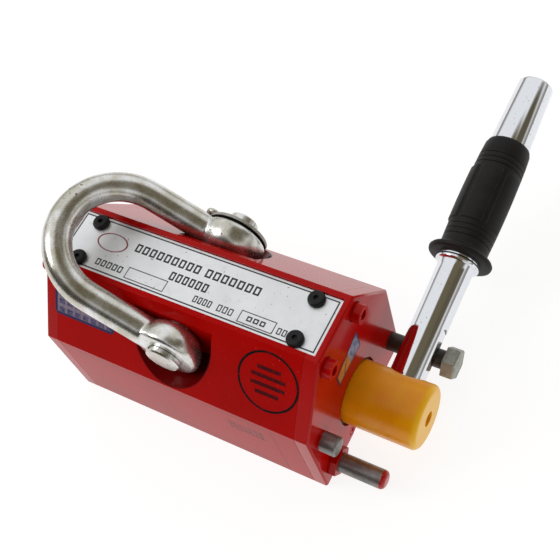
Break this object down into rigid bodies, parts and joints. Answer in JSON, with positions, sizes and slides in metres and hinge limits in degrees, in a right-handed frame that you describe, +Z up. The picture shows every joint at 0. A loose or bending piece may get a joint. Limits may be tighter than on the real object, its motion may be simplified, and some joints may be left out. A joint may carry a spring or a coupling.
{
  "type": "lifting magnet",
  "caption": "Permanent lifting magnet with a turning rotor, hand lever, shackle and two pole yokes with a grooved pole face.",
  "frame": {"origin": "centre of the pole face, in the plane the magnet stands on, under the middle of the body", "axes": "+X along the body towards the lever, +Y towards the side where the lever rests, +Z up to the shackle"},
  "size_m": [0.207, 0.2494, 0.1273],
  "materials": {
    "red_paint": "glossy red machine paint",
    "brass_strip": "milled brass",
    "magnet_plating": "nickel plating",
    "plate_aluminium": "satin aluminium plate",
    "black_oxide": "black oxide screws",
    "bronze_bush": "sintered bronze",
    "seal_rubber": "matt black rubber",
    "dark_steel": "blackened steel bolt",
    "pin_steel": "drawn steel pin",
    "bare_steel": "turned bare steel",
    "hub_plastic": "cast yellow-orange plastic",
    "lever_chrome": "chrome plated tube",
    "grip_rubber": "ribbed black rubber",
    "shackle_zinc": "forged and zinc plated steel",
    "washer_steel": "dark plain washer"
  },
  "bodies": {
    "housing": {"pole_yoke_near": "red_paint", "pole_yoke_far": "red_paint", "top_spacer": "red_paint", "pole_gap_strip": "brass_strip", "fixed_magnets": "magnet_plating", "front_end_cover": "red_paint", "rear_end_cover": "red_paint", "front_cover_screws": "red_paint", "rear_cover_screws": "red_paint", "nameplate": "plate_aluminium", "nameplate_screws": "black_oxide", "front_bearing": "bronze_bush", "rear_bearing": "bronze_bush", "shaft_seal": "seal_rubber", "stop_bolt": "dark_steel", "long_stop_pin": "pin_steel", "long_pin_nut": "red_paint", "short_stop_pin": "pin_steel"},
    "rotor": {"rotor_pole_near": "bare_steel", "rotor_pole_far": "bare_steel", "rotor_magnets": "magnet_plating", "rotor_spacers": "brass_strip", "rotor_screws": "black_oxide", "rotor_front_shaft": "bare_steel", "rotor_rear_shaft": "bare_steel", "hub": "hub_plastic", "hub_dowels": "bare_steel", "lever_pivot_pin": "bare_steel", "lever_spring": "bare_steel"},
    "lever": {"lever_root_plug": "bare_steel", "lever_tube": "lever_chrome", "lever_grip": "grip_rubber", "lever_end_tube": "lever_chrome"},
    "shackle": {"shackle_bow": "shackle_zinc", "shackle_pin": "shackle_zinc", "shackle_washer": "washer_steel", "split_pin": "shackle_zinc"}
  },
  "joints": [
    {"name": "rotor_turn", "type": "hinge", "parent": "housing", "child": "rotor", "pos_m": [0.102, 0, 0.0275], "axis": [1, 0, 0], "range_deg": [0, 173.4]},
    {"name": "lever_tilt", "type": "hinge", "parent": "rotor", "child": "lever", "pos_m": [0.102, 0, 0.0275], "axis": [0, 0.1184, -0.993], "range_deg": [0, 5], "stiffness_Nm_per_rad": 6, "springref_deg": -5.73},
    {"name": "shackle_swing", "type": "hinge", "parent": "housing", "child": "shackle", "pos_m": [0, 0, 0.08], "axis": [0, 1, 0], "range_deg": [0, 120]}
  ]
}
